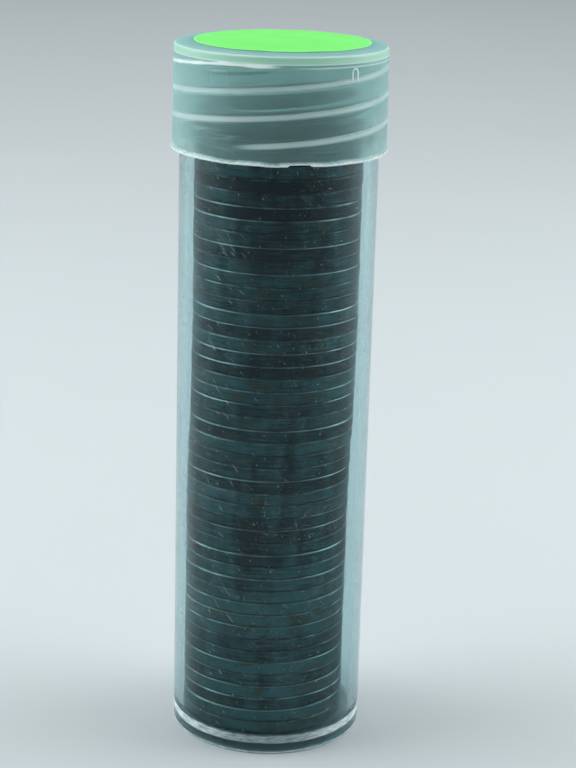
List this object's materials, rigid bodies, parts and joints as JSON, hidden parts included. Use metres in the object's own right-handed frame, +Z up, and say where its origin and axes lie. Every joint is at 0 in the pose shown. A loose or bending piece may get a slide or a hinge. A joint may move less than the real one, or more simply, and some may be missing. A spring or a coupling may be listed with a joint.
{
  "type": "coin tube",
  "caption": "Clear round coin tube with a translucent screw cap, a round paper label on the cap and a full stack of small coins inside.",
  "frame": {"origin": "centre of the face that the tube stands on", "axes": "+Z up along the tube's axis to the cap; -Y towards the camera of the picture, +X to its right"},
  "size_m": [0.0244, 0.0244, 0.0817],
  "materials": {
    "clear_tube": "clear polystyrene, glossy",
    "cap_plastic": "natural translucent polyethylene, satin",
    "label_paper": "fluorescent green paper, matt",
    "coin_metal": "toned zinc-coated steel, dull"
  },
  "bodies": {
    "tube": {"tube_body": "clear_tube"},
    "bottom_coin": {"coin_01": "coin_metal"},
    "cap": {"screw_cap": "cap_plastic", "cap_label": "label_paper"},
    "coin_stack": {"coin_02": "coin_metal", "coin_03": "coin_metal", "coin_04": "coin_metal", "coin_05": "coin_metal", "coin_06": "coin_metal", "coin_07": "coin_metal", "coin_08": "coin_metal", "coin_09": "coin_metal", "coin_10": "coin_metal", "coin_11": "coin_metal", "coin_12": "coin_metal", "coin_13": "coin_metal", "coin_14": "coin_metal", "coin_15": "coin_metal", "coin_16": "coin_metal", "coin_17": "coin_metal", "coin_18": "coin_metal", "coin_19": "coin_metal", "coin_20": "coin_metal", "coin_21": "coin_metal", "coin_22": "coin_metal", "coin_23": "coin_metal", "coin_24": "coin_metal", "coin_25": "coin_metal", "coin_26": "coin_metal", "coin_27": "coin_metal", "coin_28": "coin_metal", "coin_29": "coin_metal", "coin_30": "coin_metal", "coin_31": "coin_metal", "coin_32": "coin_metal", "coin_33": "coin_metal", "coin_34": "coin_metal", "coin_35": "coin_metal", "coin_36": "coin_metal", "coin_37": "coin_metal", "coin_38": "coin_metal", "coin_39": "coin_metal", "coin_40": "coin_metal", "coin_41": "coin_metal", "coin_42": "coin_metal", "coin_43": "coin_metal", "coin_44": "coin_metal", "coin_45": "coin_metal", "coin_46": "coin_metal", "coin_47": "coin_metal", "coin_48": "coin_metal", "coin_49": "coin_metal"}
  },
  "joints": [
    {"name": "cap_turn", "type": "hinge", "parent": "tube", "child": "bottom_coin", "pos_m": [0, 0, 0], "axis": [0, 0, 1], "range_deg": [0, 720]},
    {"name": "cap_lift", "type": "slide", "parent": "bottom_coin", "child": "cap", "axis": [0, 0, 1], "range_m": [0, 0.012]},
    {"name": "stack_rise", "type": "slide", "parent": "tube", "child": "coin_stack", "axis": [0, 0, 1], "range_m": [0, 0.0051]}
  ],
  "couplings": [
    {"joint": "cap_lift", "follows": "cap_turn", "m_per_rad": 0.00095493}
  ]
}
